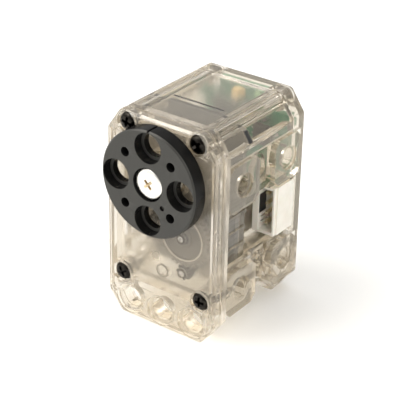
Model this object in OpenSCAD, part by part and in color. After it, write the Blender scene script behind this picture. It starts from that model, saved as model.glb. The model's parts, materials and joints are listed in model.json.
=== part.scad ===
// Servo actuator module: a clear three-part case, an output disc and a four-stage gear train.
// X runs across the case, the output disc faces -Y, Z is up, and the origin is the centre of the base.
// Inside the modules, y is a station measured back from the front face of the case.

/* [Case] */
// Width across the covers and the side pads
case_w = 30; // [30:0.1:30.6]
// Height of the two covers
case_h = 51.5; // [51.5:0.1:52]
// Depth of the case without the disc
case_d = 34.3; // [34.3:0.1:34.6]
// Depth of each cover, rim included
cover_d = 4.9; // [4.9:0.1:5.1]
// Thickness of the front cover's face
face_t = 2.0; // [1.9:0.1:2.1]
// Wall of the covers
cover_wall = 2.0; // [1.6:0.1:2]
// Height of the solid flange at the bottom of each cover
flange_h = 9.5; // [9.3:0.1:9.5]
// Bevel round the outer edge of each cover
bevel = 0.7; // [0.4:0.1:0.9]
// Radius of the outline's corners
corner_r = 1.2; // [0.6:0.1:1.6]

/* [Fixing grid] */
// Pitch of every fixing hole, on the disc, the flanges and the sides
pitch = 8.66; // [8.6:0.02:8.7]
// Radius of the flange holes
flange_hole_r = 2.7; // [2.4:0.1:2.7]
// Radius of the step round each flange hole
flange_step_r = 3.7; // [3.4:0.1:3.7]
// Radius of the side holes
side_hole_r = 2.3; // [2:0.1:2.4]
// Radius of the step round each side hole
side_step_r = 2.9; // [2.7:0.1:3]
// Height of the lower row of side holes
low_row_z = 10.9; // [10.8:0.1:11]

/* [Output disc] */
// Height of the output axis
out_z = 38.4; // [38.3:0.1:38.5]
// Radius of the disc
disc_r = 12.65; // [12.4:0.05:12.7]
// Thickness of the disc
disc_t = 4.0; // [3.9:0.1:4.1]
// Gap between the disc and the front cover
disc_gap = 0.4; // [0.3:0.1:0.5]
// Radius of the step in each large hole
disc_step_r = 3.55; // [3.4:0.05:3.6]
// Radius of each large hole
disc_hole_r = 2.8; // [2.6:0.1:2.9]
// Radius of each small hole
disc_pilot_r = 1.1; // [0.9:0.1:1.2]

/* [Gear train] */
// Module of the first two meshes
fine_module = 0.4; // [0.4:0.1:0.4]
// Module of the third mesh
mid_module = 0.5; // [0.5:0.1:0.5]
// Module of the output mesh
coarse_module = 0.7; // [0.7:0.1:0.7]
// Pressure angle of every gear
pressure_angle = 27; // [26:1:28]
// Thinning of each tooth at the pitch circle
backlash = 0.05; // [0.03:0.01:0.08]
// Radial clearance of every running fit
running_gap = 0.03; // [0.02:0.01:0.06]

/* [Hidden] */
$fn = 64;
thin = 0.02;
disc_proud = disc_t + disc_gap;
disc_front = -disc_proud;

// Outlines: the corner cuts of the covers, of the middle body and of its chamber
half_w = case_w / 2;
top_cut = [3.6, 5.3];
bottom_cut = [3.8, 5.1];
body_gap = 0.15;
body_top_z = case_h - body_gap;
body_wall = 1.6;
recess_half_w = half_w - 1.4;
shoulder_z = 43.2;
chamber_half_w = 11.2;
chamber_z0 = flange_h + 1.2;
chamber_z1 = body_top_z - body_wall;
rear_y = case_d - cover_d;

// Cover screws
head_r = 2.25;
head_pocket_r = 2.45;
head_pocket_t = 1.2;
shank_r = 0.95;
screw_boss_r = 2.6;
column_r = 2.2;
top_screw = [9.35, case_h - 2.7];
front_low_screw = [10.9, 10.8];
rear_low_screw = [8.0, 12.2];

// Side pads and the bays for the cable plugs
up_row_z = low_row_z + 3 * pitch;
hole_y = [low_row_z, low_row_z + pitch, low_row_z + 2 * pitch];
front_pad = [cover_d, 16.4];
rear_pad = [22.6, 32.6];
low_pad_z = [5.4, 16.3];
up_pad_z = [31.4, 42.6];
pad_inner_x = 11.3;
pad_bore_x = 12.0;
mid_pad_x = 12.6;
bay_z = [17, 31];
bay_shallow_x = 12.4;
bay_deep_x = 8.4;
bay_front_y = 14.8;
bay_wall = 1.2;

// Gear plate and the gear stations between it and the front cover
plate_y = 12.2;
plate_t = 1.4;
plate_back = plate_y + plate_t;
key_wall = body_gap + 0.5;
key_z = [46, 48.8];
axle_r = 0.75;
axle_front = 1.7;
axle_boss_r = 1.25;
sleeve_r = 1.3;
sleeve_end = 11.6;
wheel_2_y = [2.7, 4.2];
wheel_3_y = [4.8, 6.4];
out_gear_y = [6.9, 9.5];
wheel_1_y = [9.7, 11.3];

// Teeth: motor pinion to wheel 1, pinion 1 to wheel 2, pinion 2 to wheel 3, pinion 3 to output gear
motor_teeth = 9;
wheel_1_teeth = 22;
pinion_1_teeth = 8;
wheel_2_teeth = 35;
pinion_2_teeth = 10;
wheel_3_teeth = 26;
pinion_3_teeth = 11;
output_teeth = 27;

// Axes in X and Z: axle 2 is placed, axle 1 hangs below it, axle 3 meshes with axle 2 and the output
out_axis = [0, out_z];
axis_2 = [5, out_z - 14];
mesh_1 = (motor_teeth + wheel_1_teeth) * fine_module / 2;
mesh_2 = (pinion_1_teeth + wheel_2_teeth) * fine_module / 2;
mesh_3 = (pinion_2_teeth + wheel_3_teeth) * mid_module / 2;
mesh_4 = (pinion_3_teeth + output_teeth) * coarse_module / 2;
angle_2 = -87.3;
angle_1 = 140.8;
axis_1 = polar(axis_2, mesh_2, angle_2);
motor_axis = polar(axis_1, mesh_1, angle_1);
axis_3 = meeting(out_axis, mesh_4, axis_2, mesh_3);

// Output shaft, its screw and its bushes
disc_head_r = 3.75;
spline_r = 2.9;
spline_teeth = 18;
spline_depth = 0.35;
journal_r = 3.5;
gear_seat_r = 3.0;
tail_journal_r = 2.5;
tail_r = 1.5;
sensor_half = 7;
sensor_t = 6;
front_bush_y = [1.0, 4.4];
front_bush_r = 5.0;
rear_bush_y = [11.7, plate_back];
rear_bush_r = 4.0;
hub_r = 4.2;
hub_back = 0.8;

// Motor
motor_r = 6;
motor_flat = 5;
motor_back = 25.4;
motor_cap_t = 2.2;
motor_shaft_r = 0.5;
motor_shaft_y = [9.3, 24.5];
motor_screw_offset = 4.2;

// Electronics
board_y = 30.7;
board_t = 1.6;
board_half_w = 10.6;
board_tab_half_w = 6.3;
header_x = [8.7, half_w - 0.1];
header_y = [23.5, board_y];
header_z = [18.4, 30.6];
header_wall = 0.7;
header_inner_wall = 1.6;
pin_pitch = 2.5;
pin_side = 0.64;
pin_x = (header_x[0] + header_x[1]) / 2;
lead_z = 34.2;
lead_pitch = 2.54;
lead_r = 0.25;
terminal_gap = 3.2;

// Point at a distance and an angle from a point
function polar(p, r, a) = p + r * [cos(a), sin(a)];

// Left-hand point that lies at distance ra from a and rb from b
function meeting(a, ra, b, rb) =
    let (d = norm(b - a), u = (b - a) / d, along = (ra * ra - rb * rb + d * d) / (2 * d))
    a + along * u + sqrt(ra * ra - along * along) * [u.y, -u.x];

function bearing(a, b) = atan2(b.y - a.y, b.x - a.x);

// Eight-sided outline with its top and bottom corners cut off
function octagon(hw, z0, z1, top, bottom) = [
    [-hw + bottom.x, z0], [hw - bottom.x, z0], [hw, z0 + bottom.y], [hw, z1 - top.y],
    [hw - top.x, z1], [-hw + top.x, z1], [-hw, z1 - top.y], [-hw, z0 + bottom.y]
];

// A corner cut after its outline is drawn in by w
function inset_cut(c, w) =
    let (a = atan2(c.y, c.x))
    [c.x - w * (1 - tan(a / 2)), c.y - w * (1 - tan(45 - a / 2))];

// Rounds every corner of a convex outline
function rounded(p, r, steps = 4) = [
    for (i = [0:len(p) - 1])
        let (
            b = p[i],
            u = unit(p[(i + len(p) - 1) % len(p)] - b),
            v = unit(p[(i + 1) % len(p)] - b),
            half = acos(u * v) / 2,
            centre = b + unit(u + v) * r / sin(half),
            start = bearing(centre, b + u * r / tan(half))
        )
        for (k = [0:steps]) polar(centre, r, start + k * (180 - 2 * half) / steps)
];

function unit(v) = v / norm(v);

// Outline of a cover drawn in by w, from height z0 up
function cover_outline(w, z0 = 0) =
    octagon(half_w - w, max(z0, w), case_h - w, inset_cut(top_cut, w), inset_cut(bottom_cut, w));

// Involute function, in degrees
function involute(a) = tan(a) * 180 / PI - a;

// Half the angle that a tooth fills at radius r
function half_tooth(n, m, r) =
    let (pitch_r = n * m / 2, base_r = pitch_r * cos(pressure_angle))
    90 / n - backlash * 90 / (PI * pitch_r) + involute(pressure_angle)
        - involute(acos(min(1, base_r / max(r, base_r))));

// Outline of a spur gear with one tooth centred on angle first
function gear_points(n, m, first) =
    let (
        pitch_r = n * m / 2,
        tip_r = pitch_r + 0.8 * m,
        root_r = pitch_r - 1.05 * m,
        low_r = max(root_r, pitch_r * cos(pressure_angle)),
        radii = concat(root_r < low_r ? [root_r] : [], [for (k = [0:3]) low_r + k * (tip_r - low_r) / 3])
    )
    [
        for (t = [0:n - 1])
            for (side = [-1, 1])
                for (k = [0:len(radii) - 1])
                    let (r = radii[side < 0 ? k : len(radii) - 1 - k])
                    polar([0, 0], r, first + 360 * t / n + side * half_tooth(n, m, r))
    ];

module case_frame() {
    translate([0, -(case_d - disc_proud) / 2, 0]) children();
}

// Extrudes an X-Z outline between two stations
module slab(y0, y1) {
    translate([0, y1, 0]) rotate([90, 0, 0]) linear_extrude(y1 - y0) children();
}

// Closed shell through rounded X-Z outlines at a list of stations
module loft(stations, outlines) {
    rings = [for (o = outlines) rounded(o, corner_r)];
    n = len(rings[0]);
    last = len(stations) - 1;
    polyhedron(
        points = [for (k = [0:last], p = rings[k]) [p.x, stations[k], p.y]],
        faces = concat(
            [[for (i = [n - 1:-1:0]) i]],
            [for (k = [0:last - 1], i = [0:n - 1])
                let (j = (i + 1) % n) [k * n + i, k * n + j, (k + 1) * n + j, (k + 1) * n + i]],
            [[for (i = [0:n - 1]) last * n + i]]
        )
    );
}

module rod_y(p, r, y0, y1) {
    translate([p.x, y1, p.y]) rotate([90, 0, 0]) cylinder(h = y1 - y0, r = r);
}

module rod_x(y, z, r, x0, x1) {
    translate([x0, y, z]) rotate([0, 90, 0]) cylinder(h = x1 - x0, r = r);
}

module block(x, y, z) {
    translate([x[0], y[0], z[0]]) cube([x[1] - x[0], y[1] - y[0], z[1] - z[0]]);
}

// Turns a profile of [radius, -station] points about an axis along Y
module turned(p) {
    translate([p.x, 0, p.y]) rotate([90, 0, 0]) rotate_extrude() children();
}

module both_sides() {
    children();
    mirror([1, 0, 0]) children();
}

// A spur gear between two stations, with a tooth or a gap facing the gear that it meshes with
module spur(axis, mate, n, m, y, bore_r, tooth_faces_mate) {
    first = bearing(axis, mate) + (tooth_faces_mate ? 0 : 180 / n);
    difference() {
        translate([axis.x, 0, axis.y]) slab(y[0], y[1]) polygon(gear_points(n, m, first));
        rod_y(axis, bore_r, y[0] - 1, y[1] + 1);
    }
}

// Cross recess cut into a screw head from its face
module cross_recess(p, face_y, depth, reach, width) {
    for (turn = [45, 135])
        translate([p.x, face_y + depth / 2, p.y])
            rotate([0, turn, 0]) cube([2 * reach, depth + thin, width], center = true);
}

module flange_holes(y0, y1, step_y0, step_y1) {
    for (i = [-1:1]) {
        rod_y([i * pitch, 4.4], flange_hole_r, y0, y1);
        rod_y([i * pitch, 4.4], flange_step_r, step_y0, step_y1);
    }
}

// Block pad on the side of the case with its two outer corners cut, as seen from the side
module pad(y, z, x0, x1) {
    cut = 1.6;
    translate([x0, 0, 0]) rotate([90, 0, 90]) linear_extrude(x1 - x0)
        polygon([
            [y[0], z[0] + cut], [y[0] + cut, z[0]], [y[1] - cut, z[0]], [y[1], z[0] + cut],
            [y[1], z[1] - cut], [y[1] - cut, z[1]], [y[0] + cut, z[1]], [y[0], z[1] - cut]
        ]);
}

// Room inside the main housing, drawn in by w: its top is wider than its middle
module chamber(w) {
    wide = body_gap + body_wall + w;
    polygon(octagon(chamber_half_w - w, chamber_z0 + w, chamber_z1 - w, [1.8, 4], [2.4, 5.4]));
    wide_z0 = shoulder_z + 1.2 + w;
    polygon(octagon(half_w - wide, wide_z0, chamber_z1 - w, inset_cut(top_cut, wide), [0.5, 0.5]));
}

// Keys on the top corners of the gear plate, to within wall of the case's outline and drawn in by w
module keys(wall, w) {
    intersection() {
        polygon(octagon(half_w - wall, 0, case_h - wall, inset_cut(top_cut, wall), [1, 1]));
        both_sides() translate([11, key_z[0] + w]) square([half_w, key_z[1] - key_z[0] - 2 * w]);
    }
}

module front_cover() {
    groove_y = [2.3, 2.8];
    groove_t = 0.3;
    guide_boss = [0, 14.6];
    color("gainsboro", 0.4) case_frame() difference() {
        union() {
            difference() {
                loft([0, bevel, cover_d], [cover_outline(bevel), cover_outline(0), cover_outline(0)]);
                slab(face_t, cover_d + 1) polygon(cover_outline(cover_wall, flange_h));
                slab(groove_y[0], groove_y[1]) difference() {
                    square(3 * case_h, center = true);
                    polygon(rounded(cover_outline(groove_t), corner_r));
                }
            }
            both_sides() rod_y(top_screw, screw_boss_r, 1, cover_d);
            both_sides() rod_y(front_low_screw, screw_boss_r, 1, cover_d);
            rod_y(out_axis, front_bush_r + 1, 1, front_bush_y[1]);
            for (axis = [axis_1, axis_2, axis_3]) rod_y(axis, axle_boss_r, 1, 2.4);
            rod_y(guide_boss, 1.7, 1, 2.25);
        }
        for (p = [top_screw, front_low_screw]) both_sides() {
            rod_y(p, head_pocket_r, -1, head_pocket_t);
            rod_y(p, 1.1, 0, cover_d + 1);
        }
        rod_y(out_axis, hub_r + 0.5, -1, 2);
        rod_y(out_axis, front_bush_r, front_bush_y[0], cover_d);
        for (axis = [axis_1, axis_2, axis_3]) rod_y(axis, axle_r, axle_front - 0.1, 3);
        rod_y(guide_boss, 1.3, 1.95, 4);
        flange_holes(-1, cover_d + 1, -1, 1);
    }
}

module main_housing() {
    mid_gap = [front_pad[1], rear_pad[0]];
    rib_z = [20, 24, 28];
    groove_half = 6.8;
    bay_mid_z = (bay_z[0] + bay_z[1]) / 2;
    bay_wall_h = bay_z[1] - bay_z[0] + 2 * bay_wall;
    color("gainsboro", 0.4) case_frame() difference() {
        union() {
            difference() {
                union() {
                    difference() {
                        slab(cover_d, rear_y)
                            polygon(octagon(half_w - body_gap, flange_h, body_top_z,
                                inset_cut(top_cut, body_gap), [1.2, 1.2]));
                        both_sides() {
                            block([recess_half_w, 20], [cover_d - 1, rear_y + 1], [0, shoulder_z]);
                            // Long grooves on both sides of each top corner
                            for (g = [[10.5, body_top_z], [12, body_top_z - 1.05]])
                                rod_y(g, 0.35, cover_d - 1, rear_y + 1);
                        }
                    }
                    both_sides()
                        for (z = [low_pad_z, up_pad_z], y = [front_pad, rear_pad])
                            pad(y, z, z == low_pad_z ? pad_inner_x - 1 : pad_inner_x, half_w);
                }
                slab(cover_d - 1, plate_back) {
                    chamber(0);
                    keys(key_wall, 0);
                }
                // Windows for the keys, and a groove over the plate
                slab(plate_y - 0.1, plate_back) keys(0, 0);
                rod_x(plate_back + 0.1, body_top_z, 0.3, -groove_half, groove_half);
                slab(plate_back - thin, rear_y + 1) difference() {
                    chamber(0);
                    for (side = [-1, 1])
                        translate([side * (bay_deep_x - bay_wall + 10), bay_mid_z])
                            square([20, bay_wall_h], center = true);
                }
                both_sides() {
                    block([bay_shallow_x, 20], [cover_d - 1, rear_y + 1], bay_z);
                    block([mid_pad_x, 20], mid_gap, [0, bay_z[0] + thin]);
                    block([mid_pad_x, 20], mid_gap, [bay_z[1] - thin, up_pad_z[1]]);
                }
            }
            both_sides() {
                rod_y(top_screw, column_r - 0.2, cover_d, rear_y);
                rod_y(front_low_screw, column_r - 0.2, cover_d, 9);
                rod_y(rear_low_screw, column_r, plate_back + 8, rear_y);
                // Middle sections, set back between the pads
                block([pad_inner_x - 1.4, mid_pad_x], mid_gap, [7, 14.8]);
                rod_x(hole_y[1], up_row_z, 3.3, 9.6, mid_pad_x);
                for (z = rib_z) {
                    block([bay_shallow_x - thin, bay_shallow_x + 0.4], [5.6, bay_front_y], [z, z + 0.7]);
                    block([bay_deep_x - thin, bay_deep_x + 0.2], [bay_front_y, 23], [z, z + 0.7]);
                }
            }
        }
        both_sides() {
            block([bay_deep_x, 20], [bay_front_y, rear_y + 1], bay_z);
            rod_y(top_screw, 1, cover_d - 1, rear_y + 1);
            rod_y(front_low_screw, 1, cover_d - 1, 8.4);
            rod_y(rear_low_screw, 1, 23.5, rear_y + 1);
            for (z = [low_row_z, up_row_z]) {
                for (y = [hole_y[0], hole_y[2]]) {
                    rod_x(y, z, side_hole_r, pad_bore_x, 20);
                    rod_x(y, z, side_step_r, half_w - 0.8, 20);
                }
                rod_x(hole_y[1], z, side_hole_r, mid_pad_x - 2, 20);
            }
            // The parts of the rear pads behind the body are trimmed to clear the board
            block([0, pad_inner_x], [rear_y, case_d], [0, case_h]);
        }
    }
}

module rear_cover() {
    cavity_back = case_d - 1.6;
    pad_room = 0.1;
    color("gainsboro", 0.4) case_frame() difference() {
        union() {
            difference() {
                loft([rear_y, case_d - bevel, case_d],
                    [cover_outline(0), cover_outline(0), cover_outline(bevel)]);
                slab(rear_y - 1, cavity_back) polygon(cover_outline(cover_wall, flange_h));
            }
            for (p = [top_screw, rear_low_screw])
                both_sides() rod_y(p, screw_boss_r, rear_y, case_d - 1);
            // Rests that hold the board against the headers
            for (p = [[0, 47.5], [0, 16.5]]) rod_y(p, 1.5, board_y + board_t, case_d - 1);
        }
        for (p = [top_screw, rear_low_screw]) both_sides() {
            rod_y(p, head_pocket_r, case_d - head_pocket_t, case_d + 1);
            rod_y(p, 1.1, rear_y - 1, case_d);
        }
        both_sides() {
            for (z = [low_pad_z, up_pad_z])
                block([pad_inner_x - pad_room, 20], [rear_y - 1, rear_pad[1] + pad_room],
                    [z[0] - pad_room, z[1] + pad_room]);
            block([12, 20], [rear_y - 1, board_y + 0.1], [header_z[0] - 0.3, header_z[1] + 0.3]);
        }
        flange_holes(rear_y - 1, case_d + 1, case_d - 1, case_d + 1);
    }
}

module gear_plate() {
    room = 0.15;
    color("dimgray") case_frame() difference() {
        slab(plate_y, plate_back) {
            chamber(room);
            keys(body_gap + 0.1, room);
        }
        rod_y(out_axis, rear_bush_r, plate_y - 1, plate_back + 1);
        rod_y(motor_axis, 2.1, plate_y - 1, plate_back + 1);
        for (axis = [axis_1, axis_2, axis_3]) rod_y(axis, axle_r, plate_y - 1, plate_back + 1);
        for (side = [-1, 1])
            rod_y(motor_axis + [side * motor_screw_offset, 0], 0.7, plate_y - 1, plate_back + 1);
        both_sides() rod_y(top_screw, column_r, plate_y - 1, plate_back + 1);
    }
}

module bush(axis, y, outer_r, inner_r) {
    color("goldenrod") case_frame() difference() {
        rod_y(axis, outer_r, y[0], y[1]);
        rod_y(axis, inner_r + running_gap, y[0] - 1, y[1] + 1);
    }
}

module front_bush() { bush(out_axis, front_bush_y, front_bush_r, journal_r); }

module rear_bush() { bush(out_axis, rear_bush_y, rear_bush_r, tail_journal_r); }

module axle(axis) {
    color("silver") case_frame() rod_y(axis, axle_r, axle_front, plate_back);
}

module axle_1() { axle(axis_1); }

module axle_2() { axle(axis_2); }

module axle_3() { axle(axis_3); }

module axle_washers() {
    color("silver") case_frame() for (axis = [axis_1, axis_2, axis_3]) difference() {
        rod_y(axis, 1.6, plate_y - 0.3, plate_y);
        rod_y(axis, axle_r, plate_y - 1, plate_y + 1);
    }
}

module motor_can() {
    wall = 0.5;
    color("silver") case_frame() difference() {
        union() {
            intersection() {
                rod_y(motor_axis, motor_r, plate_back, motor_back);
                translate([motor_axis.x, plate_back, motor_axis.y - motor_flat])
                    block([-motor_r, motor_r], [0, motor_back - plate_back], [0, 2 * motor_flat]);
            }
            rod_y(motor_axis, 2, plate_y + 0.7, plate_back + thin);
        }
        rod_y(motor_axis, motor_flat - wall, plate_back + 2, motor_back + 1);
        rod_y(motor_axis, motor_shaft_r + running_gap, plate_y, plate_back + 3);
        for (side = [-1, 1])
            rod_y(motor_axis + [side * motor_screw_offset, 0], 0.6, plate_y, plate_back + 1.8);
    }
}

module motor_end_cap() {
    color("ivory") case_frame() difference() {
        union() {
            intersection() {
                rod_y(motor_axis, motor_r, motor_back, motor_back + motor_cap_t);
                translate([motor_axis.x, motor_back, motor_axis.y - motor_flat])
                    block([-motor_r, motor_r], [0, motor_cap_t], [0, 2 * motor_flat]);
            }
            rod_y(motor_axis, motor_flat - 0.6, motor_back - 0.6, motor_back + 1);
        }
        for (side = [-1, 1]) motor_terminal(side);
        rod_y(motor_axis, 1, motor_back - 1, motor_back + 0.4);
    }
}

module motor_terminal(side) {
    x = motor_axis.x + side * terminal_gap;
    block([x - 0.2, x + 0.2], [motor_back + 0.4, board_y + board_t + 0.2],
        [motor_axis.y - 0.8, motor_axis.y + 0.8]);
}

module motor_terminals() {
    color("gold") case_frame() for (side = [-1, 1]) motor_terminal(side);
}

module motor_screws() {
    color("silver") case_frame() for (side = [-1, 1]) {
        p = motor_axis + [side * motor_screw_offset, 0];
        difference() {
            union() {
                rod_y(p, 0.9, plate_y - 0.6, plate_y);
                rod_y(p, 0.55, plate_y - thin, plate_back + 1.6);
            }
            cross_recess(p, plate_y - 0.6, 0.35, 0.6, 0.25);
        }
    }
}

module position_sensor() {
    sensor_x = [-sensor_half, sensor_half];
    color("midnightblue") case_frame() difference() {
        translate([out_axis.x, 0, out_axis.y])
            block(sensor_x, [plate_back, plate_back + sensor_t], sensor_x);
        rod_y(out_axis, tail_r + running_gap, plate_back - 1, plate_back + sensor_t - 0.6);
        for (i = [-1:1])
            rod_y([i * lead_pitch, lead_z], lead_r, plate_back + 2.5, plate_back + sensor_t + 1);
    }
}

module sensor_leads() {
    color("gold") case_frame() for (i = [-1:1])
        rod_y([i * lead_pitch, lead_z], lead_r, plate_back + 2.5, board_y + board_t + 0.2);
}

module control_board() {
    half_tab = board_tab_half_w;
    wide = 12.6;
    color("seagreen") case_frame() difference() {
        slab(board_y, board_y + board_t) union() {
            translate([-board_half_w, 14.9]) square([2 * board_half_w, 30.5]);
            translate([-half_tab, 15]) square([2 * half_tab, 34.2]);
            translate([-wide, header_z[0] - 0.3])
                square([2 * wide, header_z[1] - header_z[0] + 0.6]);
            translate([-wide, shoulder_z]) square([2 * wide, 2.2]);
        }
        for (side = [-1, 1]) {
            motor_terminal(side);
            for (k = [0:3]) header_pin(side, k);
        }
        for (i = [-1:1]) rod_y([i * lead_pitch, lead_z], lead_r, board_y - 1, board_y + 3);
        both_sides() rod_y(rear_low_screw, screw_boss_r + 0.3, board_y - 1, board_y + 3);
    }
}

// Part that stands on the front of the board
module on_board(x, z, size) {
    translate([x - size.x / 2, board_y - size.y, z - size.z / 2]) cube(size);
}

module microcontroller() {
    legs = 8;
    leg_pitch = 0.8;
    color("black") case_frame() {
        difference() {
            on_board(-4.2, 40.4, [7, 1.3, 7]);
            rod_y([-6.8, 43], 0.4, board_y - 2, board_y - 1.15);
        }
        for (i = [0:legs - 1]) {
            along = (i - (legs - 1) / 2) * leg_pitch;
            on_board(-4.2 + along, 40.4, [0.35, 0.3, 8.6]);
            on_board(-4.2, 40.4 + along, [8.6, 0.3, 0.35]);
        }
    }
}

module motor_driver() {
    color("black") case_frame() {
        on_board(5.2, 39.4, [4, 1.4, 5]);
        for (i = [0:3]) on_board(5.2, 39.4 + (i - 1.5) * 1.27, [6, 0.4, 0.45]);
    }
}

module capacitor() {
    color("orange") case_frame() {
        on_board(-0.6, 47, [1.7, 2.3, 2.2]);
        on_board(-0.6, 47, [2.9, 0.5, 1.6]);
    }
}

module crystal() {
    color("silver") case_frame() slab(board_y - 1.8, board_y) {
        translate([2, 43]) square([4, 2.4]);
        for (x = [2, 6]) translate([x, 44.2]) circle(1.2);
    }
}

module status_led() {
    color("lime") case_frame() {
        on_board(4.6, 47.6, [1.6, 0.8, 1.6]);
        rod_y([4.6, 47.6], 0.6, board_y - 1.3, board_y - 0.7);
    }
}

module chip_resistors() {
    color("black") case_frame()
        for (x = [-9.6, 9.6], i = [0:3]) on_board(x, 33.4 + 1.6 * i, [1.6, 0.5, 0.8]);
}

module header_pin(side, k) {
    z = (header_z[0] + header_z[1]) / 2 + (k - 1.5) * pin_pitch;
    translate([side * pin_x, 0, z])
        block([-pin_side / 2, pin_side / 2], [24.6, board_y + board_t + 0.2], [-pin_side / 2, pin_side / 2]);
}

module connector(side) {
    mouth_x = [header_x[0] + header_inner_wall, header_x[1] - header_wall - 0.1];
    floor_y = 28.8;
    color("white") case_frame() difference() {
        mirror([side < 0 ? 1 : 0, 0, 0]) difference() {
            block(header_x, header_y, header_z);
            block(mouth_x, [0, floor_y], [header_z[0] + header_wall, header_z[1] - header_wall]);
            // Window and slots in the inner wall
            block([header_x[0] - 1, mouth_x[0] + 1], [header_y[0] + 0.4, header_y[0] + 3.5],
                [header_z[1] - 7.8, header_z[1] - 2.8]);
            for (z = [1.9, 3.1])
                block([header_x[0] - 1, mouth_x[0] + 1], [header_y[0] + 1.2, floor_y - 1],
                    [header_z[0] + z, header_z[0] + z + 0.5]);
            // Step along the outer edge of the mouth
            block([header_x[1] - 0.35, 20], [0, header_y[0] + 1], [0, case_h]);
        }
        for (k = [0:3]) header_pin(side, k);
    }
}

module connector_right() { connector(1); }

module connector_left() { connector(-1); }

module connector_pins(side) {
    color("gold") case_frame() for (k = [0:3]) header_pin(side, k);
}

module connector_pins_right() { connector_pins(1); }

module connector_pins_left() { connector_pins(-1); }

// Pan-head screw that points to +Y, its head seated at station seat_y
module cover_screw(p, seat_y, length) {
    head_t = 1.15;
    difference() {
        union() {
            turned(p) polygon([
                [0, head_t - seat_y], [1, head_t - seat_y], [1.75, 0.9 - seat_y], [2.1, 0.55 - seat_y],
                [head_r, 0.15 - seat_y], [head_r, -seat_y], [0, -seat_y]
            ]);
            rod_y(p, shank_r, seat_y - thin, seat_y + length);
        }
        cross_recess(p, seat_y - head_t, 0.8, 1.4, 0.6);
    }
}

module front_screws() {
    color("#222222") case_frame() for (side = [-1, 1], p = [top_screw, front_low_screw])
        cover_screw([side * p.x, p.y], head_pocket_t, 6.8);
}

module rear_screws() {
    color("silver") case_frame() translate([0, case_d, 0]) mirror([0, 1, 0])
        for (side = [-1, 1], p = [top_screw, rear_low_screw])
            cover_screw([side * p.x, p.y], head_pocket_t, 8.5);
}

module spline(r) {
    polygon([
        for (i = [0:2 * spline_teeth - 1], part = [0.1, 0.4])
            polar([0, 0], i % 2 == 0 ? r : r - spline_depth, (i + 2 * part - 0.5) * 180 / spline_teeth)
    ]);
}

module output_disc() {
    edge = 0.35;
    web_y = [disc_front + 1.8, disc_front + 2.5];
    dimple = [3.96, -4.4];
    color("#1c1c1c") case_frame() difference() {
        union() {
            turned(out_axis) polygon([
                [0, disc_proud], [disc_r - edge, disc_proud], [disc_r, disc_proud - edge],
                [disc_r, disc_gap + edge], [disc_r - edge, disc_gap], [0, disc_gap]
            ]);
            rod_y(out_axis, hub_r, -1, hub_back);
        }
        rod_y(out_axis, disc_head_r + 0.15, disc_front - 1, web_y[0]);
        rod_y(out_axis, 1.4, disc_front, 0);
        translate([out_axis.x, 0, out_axis.y]) slab(web_y[1], 2) spline(spline_r);
        for (a = [0:90:270]) {
            rod_y(polar(out_axis, pitch, a), disc_step_r, disc_front - 1, disc_front + 2.4);
            rod_y(polar(out_axis, pitch, a), disc_hole_r, disc_front - 1, 1);
            rod_y(polar(out_axis, pitch, a + 45), disc_pilot_r, disc_front - 1, 1);
        }
        rod_y(out_axis + dimple, 0.6, disc_front - 1, disc_front + 0.6);
        // Zero mark across the top of the rim
        translate([out_axis.x, 0, out_axis.y + disc_r])
            block([-0.3, 0.3], [disc_front - 1, 1], [-0.5, 1]);
    }
}

module disc_screw() {
    seat_y = disc_front + 1.8;
    top = disc_proud - 0.12;
    color("silver") case_frame() difference() {
        union() {
            turned(out_axis) polygon([
                [0, top], [3.2, top], [disc_head_r - 0.1, top - 0.15], [disc_head_r, top - 0.4],
                [disc_head_r, -seat_y], [0, -seat_y]
            ]);
            rod_y(out_axis, 1.25, seat_y - thin, 4);
        }
        cross_recess(out_axis, -top, 0.8, 1.5, 0.6);
    }
}

module output_shaft() {
    collar_y = out_gear_y[1];
    color("silver") case_frame() difference() {
        union() {
            translate([out_axis.x, 0, out_axis.y]) slab(disc_front + 2.5, 1) spline(spline_r);
            rod_y(out_axis, journal_r, hub_back + 0.1, out_gear_y[0]);
            rod_y(out_axis, gear_seat_r, out_gear_y[0] - thin, collar_y + thin);
            rod_y(out_axis, journal_r, collar_y, 11.5);
            rod_y(out_axis, tail_journal_r, 11.4, plate_back - 0.1);
            rod_y(out_axis, tail_r, plate_back - 0.2, plate_back + sensor_t - 1);
        }
        rod_y(out_axis, 1.3, disc_front, 5);
    }
}

module output_gear() {
    window_r = 1.5;
    color("dimgray") case_frame() difference() {
        spur(out_axis, axis_3, output_teeth, coarse_module, out_gear_y, gear_seat_r, false);
        for (a = [0:60:300])
            rod_y(polar(out_axis, 6, a), window_r, out_gear_y[0] - 1, out_gear_y[1] + 1);
    }
}

module gear_3_wheel() {
    color("dimgray") case_frame()
        spur(axis_3, axis_2, wheel_3_teeth, mid_module, wheel_3_y, 1.8, false);
}

module gear_3_pinion() {
    bore_r = axle_r + running_gap;
    color("#333333") case_frame() difference() {
        union() {
            spur(axis_3, out_axis, pinion_3_teeth, coarse_module, [wheel_3_y[1], 9.8], bore_r, true);
            rod_y(axis_3, 1.8, wheel_3_y[0], wheel_3_y[1] + thin);
            rod_y(axis_3, sleeve_r - 0.1, 2.7, sleeve_end);
        }
        rod_y(axis_3, bore_r, 0, case_d);
    }
}

module gear_2_wheel() {
    ring_r = 5.2;
    ring_t = 0.4;
    color("gray") case_frame() {
        difference() {
            spur(axis_2, axis_1, wheel_2_teeth, fine_module, wheel_2_y, 1.6, false);
            // Shallow dish in the front face, inside a raised ring
            turned(axis_2) translate([2.4, -wheel_2_y[0] - 0.35]) square([ring_r - 2.4, 1]);
        }
        turned(axis_2) translate([ring_r, -wheel_2_y[0] - thin]) square([ring_t, 0.25 + thin]);
    }
}

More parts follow.
